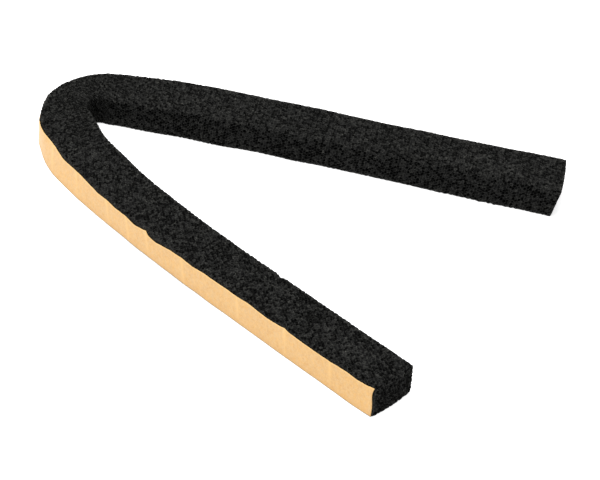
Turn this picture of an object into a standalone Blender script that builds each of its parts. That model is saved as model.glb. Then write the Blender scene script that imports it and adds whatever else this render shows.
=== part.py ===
"""Foam seal tape: one cut length of self-adhesive foam strip, bent back on itself.

The strip stands on one slit edge, as it does when it is bent by hand and let go. It has two
pieces: the foam strip, and the paper release liner on its adhesive face, which is the outer face
of the bend. Metres, +Z up. The far leg runs along +X with its liner facing +Y, the bend points
to -X, and the near leg opens away towards -Y. The origin is on the floor, under the middle of
the tape's footprint.
"""

import math

import bmesh
import bpy
import numpy as np
from mathutils import Matrix, Vector

# Section of the tape
TAPE_WIDTH = 0.012
FOAM_THICKNESS = 0.020
FOAM_EDGE_RADIUS = 0.0005
LINER_THICKNESS = 0.00012
ADHESIVE_GAP = 0.0003
LINER_INSET = 0.0004

# Route of the tape, from the near end round the bend to the far end. Radii are those of the
# inner face before it is pinched, and lengths are at the floor on the outer face.
NEAR_LEG_STRAIGHT = 0.091
NEAR_BOW_RADIUS = 0.675
NEAR_BOW_TURN = math.radians(7.5)
SHOULDER_RADIUS = 0.046
SHOULDER_TURN = math.radians(28)
NOSE_RADIUS = 0.0058
FAR_BOW_RADIUS = 0.215
FAR_BOW_TURN = math.radians(11.4)
FAR_LEG_STRAIGHT = 0.137
LEGS_OPENING = math.radians(27.9)

# Foam squeezed thinner at the nose of the bend
PINCH_DEPTH = 0.0039
PINCH_PAST_NOSE = 0.002
PINCH_REACH = 0.044

# Top edge tipped inwards beside the bend, because the stiff liner won't stand quite upright
LEAN_DEPTH = 0.0018
LEAN_BEFORE_NOSE = 0.036
LEAN_REACH = 0.057

# Upper outer edge tucked in at the near end, where the scissors dragged it
TUCK_DEPTH = 0.0015
TUCK_REACH = 0.030

# Ends snipped by hand: how far each cut leans outwards at the top, and slants outwards at the
# inner face, from the square
NEAR_CUT_LEAN = math.radians(3.5)
NEAR_CUT_SLANT = math.radians(-2)
FAR_CUT_LEAN = math.radians(12.5)
FAR_CUT_SLANT = math.radians(9.5)

# Spacing of the sections
SECTION_STEP = 0.005
SECTION_TURN = math.radians(6)

FOAM_COLOUR = (0.0176, 0.0176, 0.0160, 1.0)
LINER_COLOUR = (0.91, 0.57, 0.27, 1.0)
COLLECTION = "foam_seal_tape"


def nose_turn():
    """What is left of the half turn, once the legs' opening and the gentler bends are taken off."""
    return math.pi - LEGS_OPENING - NEAR_BOW_TURN - SHOULDER_TURN - FAR_BOW_TURN


def inward(heading):
    """Unit vector from the outer face towards the inner face, to the right of the heading."""
    return np.array([math.sin(heading), -math.cos(heading)])


def forward(heading):
    return np.array([math.cos(heading), math.sin(heading)])


def route():
    """Points, headings and distances of the sections, on the foam's outer face at the floor."""
    heading = math.pi - LEGS_OPENING
    point = np.zeros(2)
    points, headings, distances = [point], [heading], [0.0]

    def add(new_point, new_heading, travelled):
        points.append(new_point)
        headings.append(new_heading)
        distances.append(distances[-1] + travelled)

    def straight(length, steps):
        for _ in range(steps):
            add(points[-1] + length / steps * forward(headings[-1]), headings[-1], length / steps)

    def arc(inner_radius, turn):
        radius = inner_radius + FOAM_THICKNESS
        start = headings[-1]
        centre = points[-1] + radius * inward(start)
        steps = math.ceil(max(radius * turn / SECTION_STEP, turn / SECTION_TURN))
        for step in range(1, steps + 1):
            new_heading = start - turn * step / steps
            add(centre - radius * inward(new_heading), new_heading, radius * turn / steps)

    straight(NEAR_LEG_STRAIGHT, math.ceil(NEAR_LEG_STRAIGHT / SECTION_STEP))
    arc(NEAR_BOW_RADIUS, NEAR_BOW_TURN)
    arc(SHOULDER_RADIUS, SHOULDER_TURN)
    nose_start = distances[-1]
    arc(NOSE_RADIUS, nose_turn())
    nose_middle = (nose_start + distances[-1]) / 2
    arc(FAR_BOW_RADIUS, FAR_BOW_TURN)
    straight(FAR_LEG_STRAIGHT, 1)
    return points, headings, [distance - nose_middle for distance in distances]


def swell(distance, centre, reach):
    """1 at the centre, falling smoothly to 0 at the reach on either side."""
    share = min(abs(distance - centre) / reach, 1.0)
    return math.cos(share * math.pi / 2) ** 2


def section_point(station, depth, height):
    """A point of the section: depth from the outer face towards the inner one, height above the floor."""
    point, heading, distance, from_end, end = station
    lean = LEAN_DEPTH * swell(distance, -LEAN_BEFORE_NOSE, LEAN_REACH)
    tuck = TUCK_DEPTH * swell(from_end, 0.0, TUCK_REACH) * (1 - depth / FOAM_THICKNESS)
    along = 0.0
    if end == "near":
        along = -math.tan(NEAR_CUT_LEAN) * height - math.tan(NEAR_CUT_SLANT) * depth
    elif end == "far":
        along = math.tan(FAR_CUT_LEAN) * height + math.tan(FAR_CUT_SLANT) * depth
    shift = depth + (lean + tuck) * height / TAPE_WIDTH
    flat = point + shift * inward(heading) + along * forward(heading)
    return np.array([flat[0], flat[1], height])


def stations():
    """Each section's place along the route, with the two cut ends marked."""
    points, headings, distances = route()
    from_end = [distance - distances[0] for distance in distances]
    ends = ["near"] + [None] * (len(points) - 2) + ["far"]
    return list(zip(points, headings, distances, from_end, ends))


def foam_sections():
    """Four corners for each section, in order round it."""
    sections = []
    for station in stations():
        pinch = PINCH_DEPTH * swell(station[2], PINCH_PAST_NOSE, PINCH_REACH)
        depth = FOAM_THICKNESS - pinch
        corners = [(0, 0), (depth, 0), (depth, TAPE_WIDTH), (0, TAPE_WIDTH)]
        sections.append([section_point(station, *corner) for corner in corners])
    return sections


def liner_sections():
    """Lower and upper edge of the liner's inner face, on the adhesive."""
    low, high = LINER_INSET, TAPE_WIDTH - LINER_INSET
    return [
        [section_point(station, -ADHESIVE_GAP, height) for height in (low, high)]
        for station in stations()
    ]


def lofted(name, sections, closed):
    """Mesh with a quad between each pair of neighbouring sections, capped if the sections are closed."""
    shape = bmesh.new()
    rings = [[shape.verts.new(corner) for corner in section] for section in sections]
    spans = len(sections[0]) if closed else len(sections[0]) - 1
    for ring, following in zip(rings, rings[1:]):
        for corner in range(spans):
            after = (corner + 1) % len(ring)
            shape.faces.new((ring[corner], ring[after], following[after], following[corner]))
    if closed:
        shape.faces.new(rings[0])
        shape.faces.new(rings[-1])
        bmesh.ops.recalc_face_normals(shape, faces=shape.faces)
    mesh = bpy.data.meshes.new(name)
    shape.to_mesh(mesh)
    shape.free()
    return mesh


def material(name, colour, roughness):
    made = bpy.data.materials.new(name)
    made.use_nodes = True
    shader = made.node_tree.nodes["Principled BSDF"]
    shader.inputs["Base Color"].default_value = colour
    shader.inputs["Roughness"].default_value = roughness
    shader.inputs["Metallic"].default_value = 0.0
    return made


def add_object(mesh, finish, collection):
    mesh.materials.append(finish)
    mesh.shade_smooth()
    mesh.set_sharp_from_angle(angle=math.radians(30))
    made = bpy.data.objects.new(mesh.name, mesh)
    collection.objects.link(made)
    return made


def foam_strip(collection):
    """The foam, with its slit edges and cut ends just off sharp."""
    mesh = lofted("foam_strip", foam_sections(), closed=True)
    foam = add_object(mesh, material("open_cell_foam", FOAM_COLOUR, 0.95), collection)
    edges = foam.modifiers.new("slit_edges", "BEVEL")
    edges.width = FOAM_EDGE_RADIUS
    edges.segments = 2
    edges.limit_method = "ANGLE"
    edges.angle_limit = math.radians(50)
    return foam


def release_liner(collection):
    """The paper on the adhesive, a little narrower than the foam that swells past its edges."""
    mesh = lofted("release_liner", liner_sections(), closed=False)
    liner = add_object(mesh, material("kraft_release_paper", LINER_COLOUR, 0.5), collection)
    sheet = liner.modifiers.new("paper", "SOLIDIFY")
    sheet.thickness = LINER_THICKNESS
    sheet.offset = 1.0
    sheet.use_even_offset = True
    return liner


def stand_on_origin(pieces):
    """Shift the pieces so that the origin is on the floor, under the middle of their plan box."""
    depsgraph = bpy.context.evaluated_depsgraph_get()
    corners = np.array([corner for piece in pieces for corner in piece.evaluated_get(depsgraph).bound_box])
    middle = (corners.min(axis=0) + corners.max(axis=0)) / 2
    for piece in pieces:
        piece.data.transform(Matrix.Translation(Vector((-middle[0], -middle[1], 0.0))))


def main():
    for old in list(bpy.data.objects):
        bpy.data.objects.remove(old, do_unlink=True)
    collection = bpy.data.collections.new(COLLECTION)
    bpy.context.scene.collection.children.link(collection)
    stand_on_origin([foam_strip(collection), release_liner(collection)])


main()
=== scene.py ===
# Foam seal tape: a cut length of black open-cell foam with its paper release liner on,
# bent back on itself by hand and standing on its slit edge.

import math

import bpy
import numpy as np
from mathutils import Euler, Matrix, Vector
from mathutils.geometry import delaunay_2d_cdt


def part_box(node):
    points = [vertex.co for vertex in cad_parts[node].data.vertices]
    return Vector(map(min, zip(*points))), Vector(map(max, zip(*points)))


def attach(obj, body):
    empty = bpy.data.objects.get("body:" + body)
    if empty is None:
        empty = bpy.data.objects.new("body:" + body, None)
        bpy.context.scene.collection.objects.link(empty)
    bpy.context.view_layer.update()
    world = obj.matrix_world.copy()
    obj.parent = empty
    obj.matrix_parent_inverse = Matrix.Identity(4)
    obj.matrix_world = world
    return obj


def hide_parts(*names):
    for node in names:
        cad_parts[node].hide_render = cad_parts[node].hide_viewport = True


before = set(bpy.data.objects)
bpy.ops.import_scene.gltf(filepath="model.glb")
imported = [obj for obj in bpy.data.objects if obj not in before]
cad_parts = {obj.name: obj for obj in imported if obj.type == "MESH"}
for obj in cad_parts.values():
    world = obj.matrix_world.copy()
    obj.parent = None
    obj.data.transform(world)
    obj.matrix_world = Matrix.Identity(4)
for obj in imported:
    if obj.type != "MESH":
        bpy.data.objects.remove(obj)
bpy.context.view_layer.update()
mm = 0.001


# The tape's route and section (mm and degrees). They are the solids' own sizes, apart from the bulge
# and the far leg's lean, which only show here. A swelling is an amount, its place and its reach.
tape = {
    "width": 12.0,                   # slit width, upright here
    "thickness": 20.0,
    "nearStraight": 91.0,
    "nearBow": (675.0, 7.5),         # inner radius and turn of each bent stretch
    "shoulder": (46.0, 28.0),
    "noseRadius": 5.8,
    "farBow": (215.0, 11.4),
    "farStraight": 137.0,
    "legsOpening": 27.9,
    "routePoints": 9000,
    "pinch": (3.9, 2.0, 44.0),       # squeezed thinner round the nose, its place counted from there
    "lean": (1.8, -36.0, 57.0),      # upper edge tipped inwards, its place counted from the nose
    "tuck": (1.5, 0.0, 30.0),        # upper outer edge dragged in by the scissors at the near end
    "bulge": (1.35, 208.5, 16.5),    # upper outer edge pushed outwards where the bend begins
    "farLean": (0.5, 350.0, 120.0),  # the far leg tips outwards a little
    "nearCut": (3.5, -2.0),          # lean and slant of each snipped end
    "farCut": (12.5, 9.5),
    "adhesiveGap": 0.3,
    "paper": 0.12,                   # thickness of the release liner
}


def arcLengths():
    # lengths along the foam's outer face and the turns made there: an arc's length is its inner
    # radius and the thickness, times its turn, and the nose turns what is left of the half turn
    bows = [tape["nearBow"], tape["shoulder"], (tape["noseRadius"], None), tape["farBow"]]
    gentle = sum(turn for _, turn in bows if turn is not None)
    turns = [180 - tape["legsOpening"] - gentle if turn is None else turn for _, turn in bows]
    arcs = [(radius + tape["thickness"]) * math.radians(turn) for (radius, _), turn in zip(bows, turns)]
    lengths = [tape["nearStraight"], *arcs, tape["farStraight"]]
    return np.array(lengths), np.radians([0, *turns, 0])


def layRoute():
    # the heading falls evenly along each arc, and the place is the sum of small steps along the heading
    lengths, turns = arcLengths()
    knots = np.concatenate([[0], np.cumsum(lengths)])
    headings = math.radians(180 - tape["legsOpening"]) - np.concatenate([[0], np.cumsum(turns)])
    distance = np.linspace(0, knots[-1], tape["routePoints"])
    heading = np.interp(distance, knots, headings)
    middle = (heading[1:] + heading[:-1]) / 2
    step = np.diff(distance)
    x, y = (np.concatenate([[0], np.cumsum(part(middle) * step)]) for part in (np.cos, np.sin))
    nose = knots[3] + lengths[3] / 2  # the fourth stretch is the nose
    return {"distance": distance, "heading": heading, "x": x, "y": y, "length": knots[-1], "nose": nose}


route = layRoute()


def swell(distance, place, reach):
    # 1 at the place, falling as a squared cosine to 0 at the reach on either side
    share = np.clip(np.abs(distance - place) / reach, 0, 1)
    return np.cos(share * math.pi / 2) ** 2


def swelling(distance, sizes, start=0.0):
    # the amount times swell round its place, which is counted from the start
    amount, place, reach = sizes
    return amount * swell(distance, start + place, reach)


def tapePoint(distance, depth, height):
    # point in mm at a distance from the near end, a depth from the foam's outer face towards the
    # inner one and a height above the floor: the route's own point, moved inwards by the depth, which
    # the pinch thins, and by the leans, tuck and bulge times the share of the height. Past the
    # route's ends it runs straight on.
    inside = np.clip(distance, 0, route["length"])
    heading, x, y = (np.interp(inside, route["distance"], route[name]) for name in ("heading", "x", "y"))
    outer = 1 - depth / tape["thickness"]
    thin = 1 - swelling(distance, tape["pinch"], route["nose"]) / tape["thickness"]
    lean = swelling(distance, tape["lean"], route["nose"]) - swelling(distance, tape["farLean"])
    lean = lean + (swelling(distance, tape["tuck"]) - swelling(distance, tape["bulge"])) * outer
    inwards = depth * thin + lean * height / tape["width"]
    x = x + inwards * np.sin(heading) + (distance - inside) * np.cos(heading)
    y = y - inwards * np.cos(heading) + (distance - inside) * np.sin(heading)
    return np.stack([x, y, height + 0 * x], -1)


def cutDistance(share, depth, height):
    # distance along the tape for a share of its length. Shares 0 and 1 lie on the snipped ends, which
    # stand off the route's ends by the tangent of the lean times height and of the slant times depth.
    nearLean, nearSlant = (math.tan(math.radians(angle)) for angle in tape["nearCut"])
    farLean, farSlant = (math.tan(math.radians(angle)) for angle in tape["farCut"])
    near = -nearLean * height - nearSlant * depth
    far = route["length"] + farLean * height + farSlant * depth
    return near + share * (far - near)


def placeInFrame():
    # shift in mm that lays the paper's outer face, at the floor, on the solid liner's box: its lowest
    # x is at the nose and its highest y on the far leg
    low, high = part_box("release_liner")
    onFloor = 0 * route["distance"]
    paperOuter = tapePoint(route["distance"], onFloor - tape["adhesiveGap"] - tape["paper"], onFloor)
    return np.array([low[0] / mm - paperOuter[:, 0].min(), high[1] / mm - paperOuter[:, 1].max(), 0])


shift = placeInFrame()
print("route laid:", round(float(route["length"])), "mm on the outer face, moved by", shift.round(2))


def linear(hexColour):
    # sRGB hex colour to linear light: a straight line near black, and a power of 2.4 above it
    channels = np.array([int(hexColour[i:i + 2], 16) for i in (1, 3, 5)]) / 255
    curved = np.where(channels <= 0.04045, channels / 12.92, ((channels + 0.055) / 1.055) ** 2.4)
    return (*curved.tolist(), 1.0)


def patternScale(size):
    # scale of a pattern on Object coordinates, which are metres, from its real size in mm
    return 1 / (size * mm)


def addNode(tree, kind, inputs, **settings):
    # one node with its settings, each input given a value or the socket that feeds it
    made = tree.nodes.new(kind)
    for name, value in settings.items():
        setattr(made, name, value)
    for name, value in inputs.items():
        if isinstance(value, bpy.types.NodeSocket):
            tree.links.new(value, made.inputs[name])
        else:
            made.inputs[name].default_value = value
    return made


def newMaterial(name, finish):
    # a material whose shader has the finish's fixed values
    made = bpy.data.materials.new(name)
    made.use_nodes = True
    shader = made.node_tree.nodes["Principled BSDF"]
    for socket, value in finish.items():
        shader.inputs[socket].default_value = value
    return made, made.node_tree, shader


def addPiece(name, points, faces, material):
    # an object at the origin whose mesh has the points, given in mm
    mesh = bpy.data.meshes.new(name)
    mesh.from_pydata(points * mm, [], faces)
    mesh.materials.append(material)
    piece = bpy.data.objects.new(name, mesh)
    bpy.context.scene.collection.objects.link(piece)
    return piece


def paintPoints(piece, layers):
    # one value a point in each layer, which the material reads by the layer's name
    for name, values in layers.items():
        layer = piece.data.attributes.new(name, "FLOAT", "POINT")
        layer.data.foreach_set("value", values.ravel().astype(float))


def waves(points, chance, count, shortest, longest):
    # sum of plane waves in random directions, about 1 high, their pitches between two lengths in mm
    direction = chance.normal(size=(count, 3))
    direction /= np.linalg.norm(direction, axis=1, keepdims=True)
    pitch = chance.uniform(shortest, longest, count)
    phase = chance.uniform(0, 2 * math.pi, count)
    angle = points @ (direction * 2 * math.pi / pitch[:, None]).T + phase
    return np.sin(angle).sum(axis=1) / math.sqrt(count)


# Foam
foam = {
    "seed": 7,
    "poreSpacing": 1.26,        # mm between neighbouring pores
    "jitter": 0.36,             # share of the spacing that a pore may wander
    "endClear": 0.62,           # spacings between a cut's own pores and its outline
    "poreDepth": (0.2, 1.6),    # mm
    "poreBias": 1.3,            # above 1, most pores are shallow
    "openPore": 0.9,            # mm of depth from which a pore has a floor of its own
    "poreFloor": (0.3, 0.7),    # floor's size as a share of the pore's
    "floorDepth": 0.82,         # depth of the floor's rim as a share of the pore's
    "strutHeight": (0.05, -0.12, 0.06),  # mm that struts are cut off unevenly: spread, lowest, highest
    "paintedGlints": (0.02, 0.1, 0.5),  # share of the struts given a painted glint, and its least and greatest strength
    "glintDepth": 0.1,          # mm of depth below which it is a strut
    # pores are shallower in some places, or deeper: shares of their depth
    "slitEdgePores": (0.15, 1.2),  # at a slit edge, and mm from there to full depth
    "paperPores": 0.15,
    "crestPores": 0.4,
    "farInnerPores": 0.85,
    "cutPores": (0.5, 1.4, 0.6),  # at a cut's outer or lower edge, elsewhere in the near cut, edge in mm
    # the whole strip
    "cornerRadius": {           # lower outer, lower inner, upper inner and upper outer corner
        "near": (0.5, 2.1, 1.0, 0.7),
        "middle": (0.5, 0.9, 0.5, 0.9),
        "far": (0.5, 0.9, 0.5, 0.35),
    },
    "cornerFade": (8, 200, 30),  # mm over which the near radii fade, place and length of the far fade
    "swollen": 1.02,            # how much taller it stands than it was slit
    "swelling": 0.25,           # mm that its faces swell outwards where no paper holds them
    "held": (1.5, 0.1),         # mm from the paper to full swelling, and what is left on the paper
    "abovePaper": ((11.1, 0.8), (205, 12)),  # outer face free from this height and place, over how many mm
    "proud": (1.6, 229, 17),    # how much more it swells there, behind the nose
    "unevenness": (0.07, 14, 12, 45),  # mm of the slit faces' waves, their number and pitches
    "crumbs": (0.3, 415, 28),   # mm that the far leg's lower inner edge is ragged
    "crumbWaves": (9, 2.4, 4),
    "smoothCrest": 0.8,         # share of the struts' unevenness that the crest lacks
    "spread": [                 # mm that the inner face stands out
        (0.5, 258, 10), (0.6, 289, 26), (1.0, 310, 18), (0.45, 343, 10), (0.4, 404, 32), (0.6, 446, 60),
    ],
    "taller": [(-0.3, 372, 22), (0.65, 446, 42)],  # mm that the far leg stands taller
    "nick": (69.9, 0.6, 1.0),   # a nick in the inner upper edge: place, depth and half length in mm
    # the cuts
    "cutFade": 90,              # how fast the cuts' bows and twist die away over the tape's length
    "cutBow": (0.8, 0.5),       # mm that the near and far cuts bow outwards
    "farTwist": (1.6, 0.45),    # mm that the far cut turns along its inner face, about a share of height
    "flare": (0.8, 12),         # mm that the near end's inner face spreads, and over what length
    "foot": (0.45, 3, 1.1),     # the same for its squashed lower outer corner, and how far that drags
    # ranges of place along the tape, depth and height (mm)
    "zones": {
        "onPaper": ((-math.inf, math.inf), (-math.inf, 0.35), (0.6, 11.4)),
        "underneath": ((-math.inf, math.inf), (-math.inf, math.inf), (-math.inf, 0.15)),
        "crest": ((300, math.inf), (-math.inf, 0.9), (10.8, math.inf)),  # the far leg's upper outline
        "farInnerEdge": ((232, math.inf), (18.5, math.inf), (10, math.inf)),
        "lowerInnerEdge": ((-math.inf, math.inf), (18.7, math.inf), (-math.inf, 1.3)),
    },
    # look
    # the pores' colour is painted shade, reached at the pits' bottoms, and the flecks' colour is a painted
    # glint
    "colours": {"strut": "#1e1e1c", "poreShade": "#020202", "paintedGlint": "#484843"},
    # mm: the struts' grain, the cloudy patches, the threads, and how far the threads stray
    "patterns": {"skin": 0.55, "patch": 14, "thread": 1.3, "threadWander": 0.5},
    "relief": 0.12,             # mm that the threads stand out
    "finish": {"Roughness": 0.92, "IOR": 1.45, "Specular IOR Level": 0.25},
}


def inZone(name, cells):
    # whether a cell's place along the tape, depth and height all lie between the zone's limits
    share, depth, height = cells.T
    ranges = zip((share * route["length"], depth, height), foam["zones"][name])
    return np.logical_and.reduce([(values > low) & (values < high) for values, (low, high) in ranges])


def roundedSection(place, distance):
    # walk round the sharp-edged rectangle, then every point that is nearer a corner than its radius
    # is pulled in onto the corner's circle: its middle, plus the radius along the line to the point
    thickness, width = tape["thickness"], tape["width"]
    walked = place % 1 * 2 * (thickness + width)
    corners = [0, thickness, thickness + width, 2 * thickness + width, 2 * thickness + 2 * width]
    depth = np.interp(walked, corners, [0, thickness, thickness, 0, 0])
    height = np.interp(walked, corners, [0, 0, width, width, 0])
    corner = 2 * (height > width / 2) + ((depth > thickness / 2) != (height > width / 2))
    near, middle, far = (np.array(foam["cornerRadius"][part]) for part in ("near", "middle", "far"))
    nearFade, farPlace, farFade = foam["cornerFade"]
    nearShare = np.exp(-distance.clip(0, None) / nearFade)
    farShare = ((distance - farPlace) / farFade).clip(0, 1)
    radius = middle[corner] + nearShare * (near - middle)[corner] + farShare * (far - middle)[corner]
    middleDepth = np.clip(depth, radius, thickness - radius)
    middleHeight = np.clip(height, radius, width - radius)
    pull = radius / np.hypot(depth - middleDepth, height - middleHeight)
    return middleDepth + (depth - middleDepth) * pull, middleHeight + (height - middleHeight) * pull


def sideCells(chance):
    # one cell for each pore, as share of the length, depth and height: a jittered triangular lattice
    # round the section and along the tape. Each triangle's knot is the middle of its three places.
    spacing = foam["poreSpacing"]
    around = round((tape["thickness"] + tape["width"]) * 2 / spacing)
    rows = round(route["length"] / (spacing * math.sqrt(3) / 2)) + 1
    row, column = np.meshgrid(np.arange(rows), np.arange(around + 1), indexing="ij")
    wander = chance.uniform(-foam["jitter"], foam["jitter"], (2, rows, around + 1))
    wander[:, :, -1] = wander[:, :, 0]
    wander[0, [0, -1]] = 0
    place = (column + 0.5 * (row % 2) + wander[1]) / around
    share = (row + wander[0]) / (rows - 1)

    number = row * around + column % around
    grid = np.stack([number, place, share])
    here, beside, above, aboveBeside = grid[:, :-1, :-1], grid[:, :-1, 1:], grid[:, 1:, :-1], grid[:, 1:, 1:]
    even = np.stack([here, above, beside, beside, above, aboveBeside], -1)
    odd = np.stack([here, aboveBeside, beside, here, above, aboveBeside], -1)
    triples = np.where((row[:-1, :-1] % 2 == 1)[..., None], odd, even).reshape(3, -1, 3)
    faces = triples[0].astype(int)
    knotPlace, knotShare = triples[1:].mean(axis=2)

    def section(place, share):
        return np.stack([share, *roundedSection(place, share * route["length"])], -1)

    return section(place[:, :-1].ravel(), share[:, :-1].ravel()), faces, section(knotPlace, knotShare), around


def endCells(ring, share, chance):
    # flat end: the side's ring of cells there, filled with a jittered triangular lattice of cells,
    # and triangulated
    spacing = foam["poreSpacing"]
    line = spacing * math.sqrt(3) / 2
    row, column = np.meshgrid(np.arange(1, round(tape["width"] / line)),
                              np.arange(round(tape["thickness"] / spacing)), indexing="ij")
    wander = chance.uniform(-foam["jitter"], foam["jitter"], (2, *row.shape)) * spacing
    depth = (column + 0.5 + 0.5 * (row % 2)) * spacing + wander[0]
    height = row * line + wander[1]
    clear = foam["endClear"] * spacing
    keep = ((depth > clear) & (depth < tape["thickness"] - clear)
            & (height > clear) & (height < tape["width"] - clear))
    inner = np.stack([depth[keep], height[keep]], -1)
    flat = np.concatenate([ring, inner])
    around = np.arange(len(ring))
    edges = np.stack([around, np.roll(around, -1)], -1).tolist()
    inside, merged = 1, 1e-4  # only triangles inside the ring, and mm within which points are one
    faces = np.array(delaunay_2d_cdt(flat.tolist(), edges, [], inside, merged)[2])
    knots = flat[faces].mean(axis=1)
    return (np.column_stack([np.full(len(inner), share), inner]), faces,
            np.column_stack([np.full(len(knots), share), knots]))


def foamCells(chance):
    # closed surface with one vertex for each pore and one knot for each of its triangles: the side's
    # cells, then the near end's and the far end's, whose rings are the side's first and last rows
    side, sideFaces, sideKnots, around = sideCells(chance)
    lastRing = len(side) - around
    nearInner, nearFaces, nearKnots = endCells(side[:around, 1:], 0.0, chance)
    farInner, farFaces, farKnots = endCells(side[lastRing:, 1:], 1.0, chance)
    farStart = len(side) + len(nearInner)
    nearFaces = np.where(nearFaces < around, nearFaces, nearFaces - around + len(side))
    farFaces = np.where(farFaces < around, farFaces + lastRing, farFaces - around + farStart)
    return (np.concatenate([side, nearInner, farInner]),
            np.concatenate([sideFaces, nearFaces, farFaces[:, ::-1]]),
            np.concatenate([sideKnots, nearKnots, farKnots]))


def foamPoint(cells):
    # the cells' places in the frame (mm): tapePoint of a distance moved by the cuts' bow, twist and
    # foot, a depth moved by the flare and the spread, and a height times how tall it stands, all
    # less the nick, which dies away as a bell curve along the inner upper edge
    share, depth, height = cells.T
    deepShare, highShare = depth / tape["thickness"], height / tape["width"]
    nearBow, farBow = foam["cutBow"]
    bowed = np.sin(math.pi * deepShare)
    twistDepth, twistMiddle = foam["farTwist"]
    twist = twistDepth * (highShare - twistMiddle) * deepShare ** 2
    distance = cutDistance(share, depth, height)
    distance = distance + (bowed * farBow + twist) * np.exp((share - 1) * foam["cutFade"])
    distance = distance - bowed * nearBow * np.exp(-share * foam["cutFade"])
    flareDepth, flareLength = foam["flare"]
    flare = flareDepth * np.exp(-share * route["length"] / flareLength) * deepShare ** 2
    spread = sum(swelling(distance, sizes) for sizes in foam["spread"])
    taller = foam["swollen"] + sum(swelling(distance, sizes) for sizes in foam["taller"]) / tape["width"]
    footDepth, footLength, footDrag = foam["foot"]
    foot = footDepth * np.exp(-share * route["length"] / footLength)
    foot = foot * (1 - highShare) ** 2 * (1 - deepShare) ** 3
    distance = distance - footDrag * foot
    inwards = depth - foot + flare * highShare + spread * deepShare
    nickPlace, nickDepth, nickLength = foam["nick"]
    fromEdge = np.hypot(tape["thickness"] - depth, tape["width"] - height)
    nick = nickDepth * np.exp(-((distance - nickPlace) / nickLength) ** 2 - fromEdge ** 2)
    return tapePoint(distance, inwards - nick, height * taller - nick) + shift


def pointNormals(points, faces):
    # sum of the normals of the faces that meet at each point, made one long
    a, b, c = points[faces].transpose(1, 0, 2)
    faceNormals = np.cross(b - a, c - a)
    sums = [np.bincount(faces.ravel(), np.repeat(axis, 3), len(points)) for axis in faceNormals.T]
    total = np.stack(sums, -1)
    return total / np.linalg.norm(total, axis=1, keepdims=True)


def freeOfPaper(cells):
    # share of its swelling that the foam is free to make: little on the paper, growing evenly to 1
    # away from it, and 1 or more on the strip of the outer face above the paper, past the bend
    share, depth, height = cells.T
    place = share * route["length"]
    (lowest, overHeight), (first, overPlace) = foam["abovePaper"]
    above = (height - lowest).clip(0, overHeight) / overHeight * ((place - first) / overPlace).clip(0, 1)
    above = above * (1 + swelling(place, foam["proud"]))
    fromPaper, least = foam["held"]
    return np.maximum((depth / fromPaper).clip(0, 1), above).clip(least, None)


def standOut(cells, points, poreCount, chance):
    # mm that each point stands out of the slit faces: the swelling and waves, times the share that is
    # free, plus crumbs on the lower inner edge, plus the knots' unevenly cut struts
    place = cells[:, 0] * route["length"]
    free = freeOfPaper(cells)
    unevenness, *faceWaves = foam["unevenness"]
    out = (foam["swelling"] + unevenness * waves(points, chance, *faceWaves)) * free
    crumbs = swelling(place, foam["crumbs"]) * inZone("lowerInnerEdge", cells)
    out += np.abs(waves(points, chance, *foam["crumbWaves"])) * crumbs
    spread, lowest, highest = foam["strutHeight"]
    struts = chance.normal(0, spread, len(cells) - poreCount).clip(lowest, highest)
    rough = free * (1 - foam["smoothCrest"] * inZone("crest", cells))
    out[poreCount:] += struts * rough[poreCount:]
    return out


def poreSizes(pores, chance):
    # each pore's floor as a share of its own size, its depth, and whether it has a floor: the depth is
    # the shallowest plus a random number, raised to the bias, times what is left to the deepest one.
    # It shrinks towards the slit edges, under the paper and on the crest, and grows in the near cut.
    share, depth, height = pores.T
    floorShare = chance.uniform(*foam["poreFloor"], len(pores))
    shallow, deep = foam["poreDepth"]
    poreDepth = shallow + (deep - shallow) * chance.random(len(pores)) ** foam["poreBias"]
    fromSlitEdge = np.maximum(np.minimum(height, tape["width"] - height),
                              np.minimum(depth, tape["thickness"] - depth))
    least, fadeLength = foam["slitEdgePores"]
    fade = least + (1 - least) * (fromSlitEdge / fadeLength).clip(0, 1)
    poreDepth *= np.maximum(fade, foam["farInnerPores"] * inZone("farInnerEdge", pores))
    onPaper = inZone("onPaper", pores)
    poreDepth[onPaper] *= foam["paperPores"]
    poreDepth[inZone("crest", pores)] *= foam["crestPores"]
    atEdge, inNearCut, edgeWidth = foam["cutPores"]
    fromCorner = np.minimum(height, depth)
    poreDepth[((share == 0) | (share == 1)) & (fromCorner < edgeWidth)] *= atEdge
    poreDepth[(share == 0) & (fromCorner > edgeWidth)] *= inNearCut
    return floorShare, poreDepth, (poreDepth > foam["openPore"]) & ~(onPaper | inZone("underneath", pores))


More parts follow.
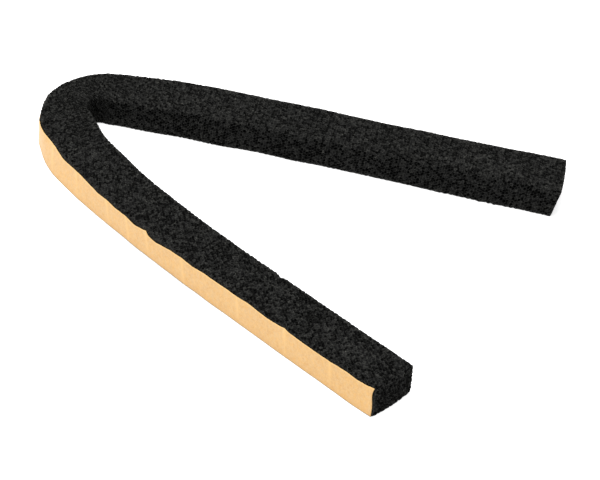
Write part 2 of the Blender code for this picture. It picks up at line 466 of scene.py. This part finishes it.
def openPores(points, knots, faces, floorShare, poreDepth, floored):
    # each cell becomes a pit, its bottom the depth below the face along the normal, and each knot a
    # meeting of struts: the sector of a pit between two knots is one triangle, or three where the pit
    # has a floor of its own
    count, faceCount = len(points), len(faces)
    normals = pointNormals(points, faces)
    start, end = faces.ravel(), faces[:, [1, 2, 0]].ravel()
    ownFace = np.repeat(np.arange(faceCount), 3)
    following = np.arange(len(start)).reshape(-1, 3)[:, [1, 2, 0]].ravel()
    key, twinKey = start * count + end, end * count + start
    order = np.argsort(key)
    twin = order[np.searchsorted(key[order], twinKey)]

    bottoms = points - normals * poreDepth[:, None]
    rimDepth = foam["floorDepth"] * poreDepth[start]
    rims = points[start] + (knots[ownFace] - points[start]) * floorShare[start][:, None]
    rims = rims - normals[start] * rimDepth[:, None]

    knotOf = count + ownFace
    rimOf = count + faceCount + np.arange(len(start))
    rimAcross = rimOf[following[twin]]
    deep = floored[start]
    plain = np.stack([start, knotOf[twin], knotOf], -1)[~deep]
    floor = np.stack([start, rimAcross, rimOf], -1)[deep]
    wallLow = np.stack([rimAcross, knotOf[twin], knotOf], -1)[deep]
    wallHigh = np.stack([rimAcross, knotOf, rimOf], -1)[deep]
    allPoints = np.concatenate([bottoms, knots, rims])
    allFaces = np.concatenate([plain, floor, wallLow, wallHigh])
    hollow = np.concatenate([poreDepth, np.zeros(faceCount), rimDepth])
    used = np.zeros(len(allPoints), bool)
    used[allFaces] = True
    renumber = np.cumsum(used) - 1
    return allPoints[used], renumber[allFaces], hollow[used]


def openCellFoam():
    # Open-cell polyurethane foam, dyed black and slit with a knife: no sheen. Each cut cell is a pit
    # between paler struts, painted darker the deeper it is, as painted shade; a few struts are painted
    # paler, as painted glints; and the top face, with the bottom one, is painted paler than the upright
    # ones, as painted light from above. The finest struts are drawn as coarse threads, about a pore
    # apart, so that they show, with painted shade in the gaps between them.
    material, tree, shader = newMaterial("blackOpenCellFoam", foam["finish"])
    sizes, colours = foam["patterns"], foam["colours"]
    hollow, paintedGlint, slit = (addNode(tree, "ShaderNodeAttribute", {}, attribute_name=name).outputs["Fac"]
                           for name in ("hollow", "paintedGlint", "slit"))
    place = addNode(tree, "ShaderNodeTexCoord", {}).outputs["Object"]
    skin = addNode(tree, "ShaderNodeTexNoise",
                   {"Vector": place, "Scale": patternScale(sizes["skin"]), "Detail": 3.0})
    patches = addNode(tree, "ShaderNodeTexNoise",
                      {"Vector": place, "Scale": patternScale(sizes["patch"]), "Detail": 2.0})
    bent = addNode(tree, "ShaderNodeVectorMath",
                   {0: skin.outputs["Color"], 1: (sizes["threadWander"] * mm,) * 3, 2: place},
                   operation="MULTIPLY_ADD")
    threads = addNode(tree, "ShaderNodeTexVoronoi",
                      {"Vector": bent.outputs["Vector"], "Scale": patternScale(sizes["thread"])},
                      feature="DISTANCE_TO_EDGE")

    ranges = [
        # the pits' depth sets how much painted shade they get
        {"Value": hollow, "From Max": 0.6},
        # the threads are drawn bright, with painted shade in the gaps between them
        {"Value": threads.outputs["Distance"], "From Max": 0.13, "To Min": 2.6, "To Max": 0.2},
        {"Value": skin.outputs["Fac"], "From Min": 0.3, "From Max": 0.7, "To Min": 0.7, "To Max": 1.3},
        {"Value": patches.outputs["Fac"], "From Min": 0.3, "From Max": 0.7, "To Min": 0.94, "To Max": 1.06},
        # the top and bottom faces are painted paler than the upright ones, as painted light from above
        {"Value": slit, "To Min": 0.75},
    ]
    poreShading, lines, grain, cloud, paintedSlitFaceLight = (
        addNode(tree, "ShaderNodeMapRange", inputs).outputs["Result"] for inputs in ranges
    )
    # the colour is mixed towards painted shade in the pits and towards painted glints on a few struts
    colour = linear(colours["strut"])
    for share, name in ((poreShading, "poreShade"), (paintedGlint, "paintedGlint")):
        mixed = addNode(tree, "ShaderNodeMix", {"Factor": share, "A": colour, "B": linear(colours[name])},
                        data_type="RGBA")
        colour = mixed.outputs["Result"]
    brightness = grain
    for factor in (lines, cloud, paintedSlitFaceLight):
        product = addNode(tree, "ShaderNodeMath", {0: brightness, 1: factor}, operation="MULTIPLY")
        brightness = product.outputs["Value"]
    shaded = addNode(tree, "ShaderNodeVectorMath", {0: colour, "Scale": brightness}, operation="SCALE")
    tree.links.new(shaded.outputs["Vector"], shader.inputs["Base Color"])
    relief = foam["relief"] * mm
    bump = addNode(tree, "ShaderNodeBump", {"Height": lines, "Strength": 0.7, "Distance": relief})
    tree.links.new(bump.outputs["Normal"], shader.inputs["Normal"])
    return material


def makeFoam():
    # the cells' points move out along their normals by standOut, and then the pores are opened
    chance = np.random.default_rng(foam["seed"])
    pores, faces, knotCells = foamCells(chance)
    cells = np.concatenate([pores, knotCells])
    points = foamPoint(cells)
    normals = pointNormals(points[:len(pores)], faces)
    normals = np.concatenate([normals, normals[faces].mean(axis=1)])
    points = points + normals * standOut(cells, points, len(pores), chance)[:, None]
    points, knots = points[:len(pores)], points[len(pores):]
    points, faces, hollow = openPores(points, knots, faces, *poreSizes(pores, chance))
    points[:, 2] = points[:, 2].clip(0.0, None)
    piece = addPiece("foamStrip", points, faces, openCellFoam())
    # a few struts near the surface get a painted glint
    many, faintest, brightest = foam["paintedGlints"]
    paintedGlint = (chance.random(len(points)) < many) * chance.uniform(faintest, brightest, len(points))
    paintedGlint = paintedGlint * (hollow < foam["glintDepth"])
    # slit is 1 on the top and bottom faces, which the material paints paler as painted light from above
    fromTop = tape["width"] * foam["swollen"] - points[:, 2]
    slit = 1 - np.minimum(fromTop - hollow, points[:, 2] - hollow).clip(0, 1)
    paintPoints(piece, {"hollow": hollow, "paintedGlint": paintedGlint, "slit": slit})
    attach(piece, "root")
    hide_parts("foam_strip")
    print("foam:", len(pores), "pores,", len(faces), "triangles")


makeFoam()


# Release liner
liner = {
    "seed": 3,
    "step": 0.5,                # mm between points along the tape
    "lowRows": (0, 0.018, 0.03),  # shares of its height at which the lowest rows lie
    "highRows": 17,             # rows above them, closer together towards the slit edge
    "edgeStep": 0.25,           # mm between the slit edge's own points
    "edgeBlur": 17,             # how many of those it is blurred over
    "curl": (0.15, 1.6, 1.3),   # mm that the slit edge is pressed inwards, from how far down, its limit
    "standsOff": (0.45, 203.5, 12.5),  # it buckles off the foam where the bend begins
    "endHollow": (0.9, 0.76, 0.28),  # mm that its near end is hollow, share of height and spread
    "endToe": 0.35,             # mm that its lower corner reaches past the cut
    "endFade": 6,               # mm over which both die away
    "endLift": (0.25, 2),       # mm that the corner is off the floor, and over what length
    "lift": 0.06,               # mm that its lower edge is off the floor
    # waves of the slit edge, the lower edge and the slack: mm, their number and pitches
    "topWaves": (0.05, 9, 3, 12),
    "lowWaves": (0.02, 9, 6, 20),
    "slackWaves": (0.05, 9, 8, 30),
    # how far the lower edge splays out (or is lifted, below zero), at distances from the near end
    "foot": [
        (0, 0.20), (8, 0.35), (50, 0.30), (80, 0.0), (105, -0.38), (140, -0.40), (155, 0.05), (172, 0.25),
        (184, 0.0), (190, 0.25), (207, 0.05), (214, 0.35), (221, 0.0), (446, 0.05),
    ],
    # heights of the wandering slit edge, at distances from the near end
    "slitEdge": [
        (0, 12.2), (4, 11.4), (8, 11.2), (14, 11.8), (34, 11.9), (43, 12.1), (56, 11.8), (66, 12.3),
        (76, 12.0), (91, 12.1), (97, 11.3), (103, 12.0), (110, 11.4), (119, 10.1), (123, 10.4), (128, 10.9),
        (132, 10.7), (137, 11.5), (144, 11.1), (150, 11.6), (156, 11.1), (165, 11.7), (172, 11.8),
        (181, 11.1), (190, 12.0), (205, 12.25), (209, 12.4), (211.5, 11.0), (214, 10.0), (218, 9.6),
        (240, 10.0), (262, 11.0), (300, 10.8), (345, 11.2), (400, 11.0), (446, 11.3),
    ],
    # creases across the paper: distance, how far its edge is lifted, how far the fold stands out
    "creases": [
        (22, 0.0, 0.08), (46, 0.8, 0.20), (72, 0.0, 0.08), (103, 0.1, 0.12), (124.4, 1.7, 0.25),
        (137, 0.1, 0.10), (150, 0.2, 0.12), (172, 0.0, 0.12), (192, 0.0, 0.12), (268, 0.2, 0.16),
        (311, 0.3, 0.2), (392, 0.2, 0.14),
    ],
    "creaseTip": 0.3,           # mm, radius of a crease's tip
    "creaseSlant": 1.2,         # mm that a crease runs towards the near end on its way down
    # how fast a crease dies away before and after it, and its share at the lower edge
    "edgeCrease": (0.7, 2.6),
    "foldCrease": (0.8, 1.4, 0.25),
    # the last two set the painted highlight along each crease
    "paleCrease": (0.4, 0.5, 0.3),
    "creasePaleness": 0.8,
    # look
    "edgeHighlightHeight": 0.35,          # mm below the slit edge that its painted highlight reaches
    "darkeningHeight": 1.2,        # mm above the lower edge over which it is deeper in colour
    "contactShadowHeight": 0.02,      # share of its height that has a painted contact shadow where it meets the floor
    "paintedSheen": (212.3, 4.5),      # place and reach of the painted sheen, where the bend turns it away
    "paintedSheenLow": 0.3,            # its share at the lower edge
    # the pale colour also serves the creases' painted highlight, and the last three are the slit edge's
    # painted highlight, the painted sheen and the painted contact shadow
    "colours": {
        "paper": "#ca9a52", "pale": "#d8b06e", "deep": "#bc8b48", "ashen": "#c29f71",
        "edgeHighlight": "#d8b070", "paintedSheen": "#ecd7a2", "contactShade": "#86755c",
    },
    "patterns": {"cloud": 2.6, "fibre": 0.45, "speckle": 1.4},  # mm
    "grainDirection": (1.0, 1.0, 0.7),  # fibres and clouds are drawn a little longer across the tape
    "relief": 0.03,             # mm that the fibres stand out
    "finish": {"Roughness": 0.48, "IOR": 1.48},
}


def crease(distance, place, before, after):
    # ridge with a small round tip: it dies away exponentially, at its own rate on each side
    off, tip = distance - place, liner["creaseTip"]
    return np.exp(-(np.hypot(off, tip) - tip) / np.where(off < 0, before, after))


def kraftReleasePaper():
    # Kraft paper, calendered and coated with a thin film of silicone: slightly glossy and cloudy, with
    # greyer mottling, and darker towards its lower edge. Along its creases and its slit edge it is painted
    # paler, as painted highlights; a painted sheen lies where the bend turns it away; and the lowest edge
    # has a painted contact shadow where it meets the floor. Real fibres are about 0.03 mm wide, and are
    # drawn far coarser, so that they show.
    material, tree, shader = newMaterial("kraftReleasePaper", liner["finish"])
    sizes, colours = liner["patterns"], liner["colours"]
    creaseHighlight, edgeHighlight, foot, paintedSheen, contactShadow = (
        addNode(tree, "ShaderNodeAttribute", {}, attribute_name=name).outputs["Fac"]
        for name in ("creaseHighlight", "edgeHighlight", "foot", "paintedSheen", "contactShadow")
    )
    place = addNode(tree, "ShaderNodeTexCoord", {}).outputs["Object"]
    stretch = addNode(tree, "ShaderNodeMapping", {"Vector": place, "Scale": liner["grainDirection"]})
    stretched = stretch.outputs["Vector"]
    noises = [
        {"Vector": stretched, "Scale": patternScale(sizes["cloud"]), "Detail": 4.0, "Roughness": 0.6},
        {"Vector": place, "Scale": patternScale(sizes["speckle"]), "Detail": 3.0, "Roughness": 0.65},
        {"Vector": stretched, "Scale": patternScale(sizes["fibre"]), "Detail": 3.0},
    ]
    cloud, speckle, fibres = (addNode(tree, "ShaderNodeTexNoise", inputs).outputs["Fac"] for inputs in noises)
    ranges = [
        {"Value": cloud, "From Min": 0.35, "From Max": 0.65},
        {"Value": speckle, "From Min": 0.35, "From Max": 0.65, "To Max": 0.9},
        {"Value": fibres, "From Min": 0.35, "From Max": 0.7, "To Max": 0.6},
        {"Value": foot, "To Max": 0.5},
    ]
    cloudy, greyer, soft, darkerLow = (
        addNode(tree, "ShaderNodeMapRange", inputs).outputs["Result"] for inputs in ranges
    )

    # each layer covers the ones before it by its share: the creases, the slit edge and the sheen are painted
    # highlights, the lower edge is darker, and the last is a painted contact shadow
    layers = [
        (cloudy, "paper"), (greyer, "ashen"), (soft, "pale"), (creaseHighlight, "pale"),
        (darkerLow, "deep"), (edgeHighlight, "edgeHighlight"), (paintedSheen, "paintedSheen"), (contactShadow, "contactShade"),
    ]
    colour = linear(colours["deep"])
    for share, name in layers:
        mixed = addNode(tree, "ShaderNodeMix", {"Factor": share, "A": colour, "B": linear(colours[name])},
                        data_type="RGBA")
        colour = mixed.outputs["Result"]
    tree.links.new(colour, shader.inputs["Base Color"])
    relief = liner["relief"] * mm
    bump = addNode(tree, "ShaderNodeBump", {"Height": fibres, "Strength": 0.25, "Distance": relief})
    tree.links.new(bump.outputs["Normal"], shader.inputs["Normal"])
    return material


def slitEdgeHeight(distance):
    # straight lines between the edge's own heights, blurred by a bell a few mm wide
    margin = 20  # mm past both ends, so that the blur is whole there
    fine = np.arange(-margin, route["length"] + margin, liner["edgeStep"])
    blur = np.hanning(liner["edgeBlur"])
    edge = np.convolve(np.interp(fine, *np.array(liner["slitEdge"]).T), blur / blur.sum(), "same")
    return np.interp(distance, fine, edge)


def rippled(distance, sizes, chance):
    # height in mm of the waves along the tape, and their shape
    height, *others = sizes
    line = np.stack([distance, 0 * distance, 0 * distance], -1).reshape(-1, 3)
    return height, waves(line, chance, *others).reshape(distance.shape)


def creasedEdge(distance, rise):
    # the slit edge's height, how far the folds stand out and how far they are painted paler, as a painted
    # highlight: each crease adds its lift, its fold and its painted highlight, times the ridge's shape. A
    # fold weakens towards the lower edge.
    top, push, creaseHighlight = slitEdgeHeight(distance), 0 * distance, 0 * distance
    foldBefore, foldAfter, foldLow = liner["foldCrease"]
    paleBefore, paleAfter, paleLow = liner["paleCrease"]
    for place, lift, fold in liner["creases"]:
        slanted = place + liner["creaseSlant"] * (rise - 1)
        top += lift * crease(distance, place, *liner["edgeCrease"])
        push += fold * crease(distance, slanted, foldBefore, foldAfter) * (foldLow + (1 - foldLow) * rise)
        pale = crease(distance, slanted, paleBefore, paleAfter) * (paleLow + (1 - paleLow) * rise)
        creaseHighlight += liner["creasePaleness"] * pale
    return top, push, creaseHighlight


def sheetShape(distance, rise, chance):
    # the height runs from the lower to the slit edge by the share called rise. The depth is the curl
    # less the adhesive's gap, the folds and the slack, and the slack is a squared wave, the splayed
    # foot and the place where the sheet stands off.
    top, push, creaseHighlight = creasedEdge(distance, rise)
    ripple, shape = rippled(distance, liner["topWaves"], chance)
    top += ripple * shape
    foot = np.interp(distance, *np.array(liner["foot"]).T)
    ripple, shape = rippled(distance, liner["lowWaves"], chance)
    endLift, endReach = liner["endLift"]
    low = liner["lift"] + ripple * shape.clip(-2, 2) + (-foot).clip(0, None)
    low = low + endLift * np.exp(-distance / endReach)
    height = low + rise * (top - low)
    curlDepth, curlReach, curlLimit = liner["curl"]
    curl = curlDepth * np.clip((height - (tape["width"] - curlReach)) / curlReach, 0, curlLimit) ** 2
    ripple, shape = rippled(distance, liner["slackWaves"], chance)
    slack = ripple * shape ** 2 + foot.clip(0, None) * (1 - rise) ** 1.5
    slack += swelling(distance, liner["standsOff"]) * rise
    depth = -tape["adhesiveGap"] + curl - push - slack
    return {"height": height, "depth": depth, "low": low, "top": top, "creaseHighlight": creaseHighlight}


def paperLayers(distance, rise, sheet):
    # what the paper's material reads: the creases' painted highlight, a bell below the slit edge for its
    # painted highlight, an exponential above the lower edge for its darkening, swell round the place of the
    # painted sheen, and the lowest rows' painted contact shadow
    edgeHighlight = np.exp(-((sheet["top"] - sheet["height"]) / liner["edgeHighlightHeight"]) ** 2)
    darkerLow = np.exp(-(sheet["height"] - sheet["low"]) / liner["darkeningHeight"])
    paintedSheenLow = liner["paintedSheenLow"]
    paintedSheen = swell(distance, *liner["paintedSheen"]) * (paintedSheenLow + (1 - paintedSheenLow) * rise)
    contactShadow = rise < liner["contactShadowHeight"]
    layers = {"creaseHighlight": sheet["creaseHighlight"], "edgeHighlight": edgeHighlight, "foot": darkerLow, "paintedSheen": paintedSheen, "contactShadow": contactShadow}
    return {name: values.clip(0, 1) for name, values in layers.items()}


def makeLiner():
    # a grid of shares of the length and of the height, shaped by sheetShape and laid along the tape
    chance = np.random.default_rng(liner["seed"])
    along = round(route["length"] / liner["step"]) + 1
    highRows = np.sin(np.linspace(0, math.pi / 2, liner["highRows"] + 1))[1:]
    rises = np.concatenate([liner["lowRows"], highRows])
    share, rise = np.meshgrid(np.linspace(0, 1, along), rises, indexing="ij")
    distance = share * route["length"]
    sheet = sheetShape(distance, rise, chance)
    hollow, middle, spread = liner["endHollow"]
    cutAway = hollow * np.exp(-((rise - middle) / spread) ** 2) - liner["endToe"] * (1 - rise) ** 2
    place = cutDistance(share, sheet["depth"], sheet["height"])
    place = place + cutAway * np.exp(-distance / liner["endFade"])
    points = tapePoint(place, sheet["depth"], sheet["height"]).reshape(-1, 3) + shift
    across = len(rises)
    row, column = np.meshgrid(np.arange(along - 1), np.arange(across - 1), indexing="ij")
    here = row * across + column
    faces = np.stack([here, here + 1, here + across + 1, here + across], -1).reshape(-1, 4)
    piece = addPiece("releaseLiner", points, faces, kraftReleasePaper())
    paintPoints(piece, paperLayers(distance, rise, sheet))
    piece.data.shade_smooth()
    wall = piece.modifiers.new("paper", "SOLIDIFY")
    wall.thickness = tape["paper"] * mm
    wall.offset = 1.0
    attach(piece, "root")
    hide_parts("release_liner")
    print("liner:", len(faces), "faces before its thickness")


makeLiner()


# Floor, light and camera
studio = {
    "floorColour": "#cfcfcf",
    "floorHalf": 2500.0,        # mm from its middle to its edges
    "floorFinish": {            # it glows, so that nothing throws a shadow on it
        "Emission Color": (1, 1, 1, 1),
        "Emission Strength": 0.62,
        "Roughness": 0.9,
        "Specular IOR Level": 0.1,
    },
    "skyStrength": 0.6,
    # place (m), size (m) and power (W)
    "lights": {
        "overheadSoftbox": ((-0.15, 0.0, 1.5), 1.5, 36.0),
        "leftSoftbox": ((-1.2, -0.6, 0.9), 0.9, 5.0),
    },
    "cameraPlace": (0.3512, -0.8978, 0.7335),  # m
    "cameraTurn": 20.188,       # degrees round from looking along +Y
    "cameraDown": 37.163,       # degrees below level
    "lens": 191.66,             # mm, on a sensor 36 mm wide
    "sensor": 36,
}


def makeFloor():
    # Light table: a white acrylic sheet, sanded matt and lit evenly from below.
    material, _, shader = newMaterial("lightTable", studio["floorFinish"])
    shader.inputs["Base Color"].default_value = linear(studio["floorColour"])
    half = studio["floorHalf"]
    corners = np.array([(-half, -half, 0), (half, -half, 0), (half, half, 0), (-half, half, 0)])
    floor = addPiece("studioFloor", corners, [(0, 1, 2, 3)], material)


def lightStudio():
    # an even white sky, and softboxes that each face the origin
    world = bpy.data.worlds.new("softStudio")
    world.use_nodes = True
    world.node_tree.nodes["Background"].inputs["Color"].default_value = (1, 1, 1, 1)
    world.node_tree.nodes["Background"].inputs["Strength"].default_value = studio["skyStrength"]
    bpy.context.scene.world = world
    for name, (place, size, power) in studio["lights"].items():
        light = bpy.data.lights.new(name, "AREA")
        light.size = size
        light.energy = power
        softbox = bpy.data.objects.new(name, light)
        softbox.location = place
        tilt, turn = math.atan2(math.hypot(*place[:2]), place[2]), math.atan2(place[1], place[0])
        softbox.rotation_euler = Euler((0, tilt, turn))
        bpy.context.scene.collection.objects.link(softbox)


def placeCamera():
    # the photograph's own view: a long lens from above and in front
    camera = bpy.data.cameras.new("photoCamera")
    camera.sensor_width = studio["sensor"]
    camera.lens = studio["lens"]
    view = bpy.data.objects.new("photoCamera", camera)
    view.location = studio["cameraPlace"]
    tilt, turn = math.radians(90 - studio["cameraDown"]), math.radians(studio["cameraTurn"])
    view.rotation_euler = Euler((tilt, 0, turn))
    bpy.context.scene.collection.objects.link(view)
    bpy.context.scene.camera = view
    bpy.context.scene.view_settings.view_transform = "Standard"


makeFloor()
lightStudio()
placeCamera()
print("studio ready")
